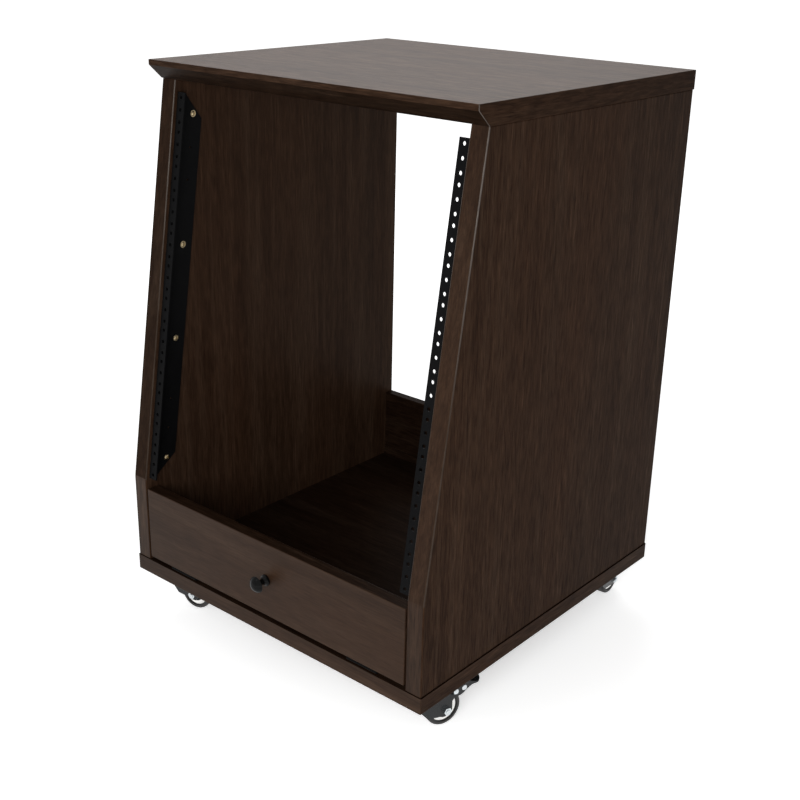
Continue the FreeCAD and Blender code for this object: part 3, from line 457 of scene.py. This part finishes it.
def dress_rivet(corner, material):
    """The second rivet of a brake is bright, though it is one piece with it."""
    joint = next(j for j in frame["joints"] if j["name"] == f"brake_{corner}")
    axis = Vector(joint["axis"])
    along = Vector((axis.y, -axis.x, 0.0))
    centre = Vector(joint["pos_m"]) + along * RIVET_ALONG + UP * RIVET_UP

    def on_rivet(face):
        offset = face.center - centre
        sideways = offset.dot(axis)
        return abs(sideways) > CHEEK and (offset - sideways * axis).length < RIVET_RADIUS

    dress_faces(f"caster_{corner}_brake", material, on_rivet)


def dress_casters():
    fork = powder_coat("fork_black", (0.0065, 0.0072, 0.0078), spec=0.33, rough=(0.20, 0.34), depth=0.00004)
    chrome = metal("bright_chrome", (0.86, 0.85, 0.83), (0.06, 0.16))
    zinc = metal("bright_zinc", (0.74, 0.78, 0.80), (0.14, 0.30))
    tyre = rubber("tyre_rubber")
    core = moulded("wheel_core", (0.016, 0.016, 0.017), (0.25, 0.40))
    looks = {
        "fork": fork,
        "plate": fork,
        "brake": fork,
        "rings": chrome,
        "axle": zinc,
        "kingpin": zinc,
        "brake_pivot": zinc,
        "tyre": tyre,
        "wheel": core,
    }
    for corner in CORNERS:
        for kind, material in looks.items():
            name = f"caster_{corner}_{kind}"
            if name in NODES:
                dress([name], material)
        if f"caster_{corner}_brake" in NODES:
            dress_rivet(corner, zinc)


# Stage

FLOOR_HALF = 60.0
FLOOR_REACH = 2.2
FLOOR_TONES = [(0.3, (0.89, 0.89, 0.89)), (0.7, (0.91, 0.91, 0.91))]
# The white that the floor adds for the eye grows with the distance from the stand: its dip near the stand
# is a painted shadow beneath it, and its rise further out keeps the open floor white
FLOOR_WHITE_AND_PAINTED_SHADOW = [(0.08, (0.50, 0.50, 0.50)), (0.19, (0.64, 0.64, 0.64)), (1.0, (0.93, 0.93, 0.93))]
ROOM_LIGHT = 0.24


def floor_look():
    """A pale matt floor that looks white in the open and keeps the shadow, which a painted shadow deepens
    near the stand.
    """
    g = Look("pale_floor")
    tone = g.ramp(g.noise(g.position(), scale=3.0, detail=2.0, roughness=0.5), FLOOR_TONES)
    matt = g.node("ShaderNodeBsdfDiffuse", {"Color": tone})
    distance = g.node("ShaderNodeVectorMath", {0: g.position()}, operation="LENGTH").outputs["Value"]
    # Less white near the stand: a painted shadow under it
    white = g.ramp(g.math("DIVIDE", distance, FLOOR_REACH, clamp=True), FLOOR_WHITE_AND_PAINTED_SHADOW)
    strength = g.math("MULTIPLY", g.seen(), white)
    glow = g.node("ShaderNodeEmission", {"Color": rgba(WHITE), "Strength": strength})
    g.show(g.node("ShaderNodeAddShader", {0: matt.outputs[0], 1: glow.outputs[0]}))
    return g.material


def floor():
    mesh = bpy.data.meshes.new("floor")
    bm = bmesh.new()
    ends = (-FLOOR_HALF, FLOOR_HALF)
    rows = [[bm.verts.new((x, y, 0.0)) for x in ends] for y in ends]
    bm.faces.new(rows[0] + rows[1][::-1])
    bm.to_mesh(mesh)
    bm.free()
    mesh.materials.append(floor_look())
    made = bpy.data.objects.new("floor", mesh)
    bpy.context.scene.collection.objects.link(made)


def world():
    """White for the eye, and a soft even light for the stand."""
    made = bpy.data.worlds.new("studio")
    made.use_nodes = True
    g = Graph(made.node_tree, "ShaderNodeOutputWorld")
    strength = g.span(g.seen(), ROOM_LIGHT, 1.0)
    g.show(g.node("ShaderNodeBackground", {"Color": rgba(WHITE), "Strength": strength}))
    bpy.context.scene.world = made


# Places and sizes in metres, power in watts; only mirrored lamps show as highlights
Lamp = namedtuple("Lamp", "name place aim size power mirrored")
LAMPS = (
    Lamp("key", (0.85, -1.35, 0.80), (0, 0, 0.40), (0.8, 0.7), 17, False),
    Lamp("front_fill", (-1.6, -3.0, 1.2), (0, 0, 0.3), (1.6, 1.4), 16, False),
    Lamp("glint", (-0.3, -1.7, 2.0), (0, 0, 0.2), (0.35, 0.35), 2.0, True),
    Lamp("back_top", (-2.0, 2.3, 2.7), (0, 0, 0.78), (2.4, 1.6), 38, True),
)


def lights():
    for lamp in LAMPS:
        light = bpy.data.lights.new(lamp.name, "AREA")
        light.shape = "RECTANGLE"
        light.size, light.size_y = lamp.size
        light.energy = lamp.power
        made = bpy.data.objects.new(lamp.name, light)
        bpy.context.scene.collection.objects.link(made)
        made.visible_camera = False
        made.visible_glossy = lamp.mirrored
        made.location = lamp.place
        made.rotation_mode = "QUATERNION"
        made.rotation_quaternion = (Vector(lamp.aim) - Vector(lamp.place)).to_track_quat("-Z", "Y")


# Camera: the place fitted to the photo, in metres, and its turns in radians

FRAME_PX = 800
FOCAL_PX = 1223.6
SENSOR_MM = 36.0
CAMERA_PLACE = (1.0359, -1.2234, 0.9642)
CAMERA_YAW = 0.6979
CAMERA_PITCH = 0.3777
CAMERA_ROLL = 0.0222
CLIP_START, CLIP_END = 0.05, 200.0


def camera_turn(yaw, pitch, roll):
    """Yaw turns left from +Y, pitch goes down, and roll turns about the view."""
    level = Vector((-math.sin(yaw), math.cos(yaw), 0.0))
    ahead = level * math.cos(pitch) - UP * math.sin(pitch)
    right = Vector((math.cos(yaw), math.sin(yaw), 0.0))
    up = right.cross(ahead)
    turned_right = math.cos(roll) * right + math.sin(roll) * up
    turned_up = math.cos(roll) * up - math.sin(roll) * right
    return Matrix((turned_right, turned_up, -ahead)).transposed().to_4x4()


def camera():
    data = bpy.data.cameras.new("photo_view")
    data.sensor_width = SENSOR_MM
    data.lens = FOCAL_PX / FRAME_PX * SENSOR_MM
    data.clip_start, data.clip_end = CLIP_START, CLIP_END
    data.dof.use_dof = False
    made = bpy.data.objects.new("photo_view", data)
    bpy.context.scene.collection.objects.link(made)
    turn = camera_turn(CAMERA_YAW, CAMERA_PITCH, CAMERA_ROLL)
    made.matrix_world = Matrix.Translation(Vector(CAMERA_PLACE)) @ turn
    bpy.context.scene.camera = made


dress_boards()
dress_fittings()
dress_casters()
floor()
world()
lights()
camera()
bpy.context.scene.view_settings.view_transform = "Standard"
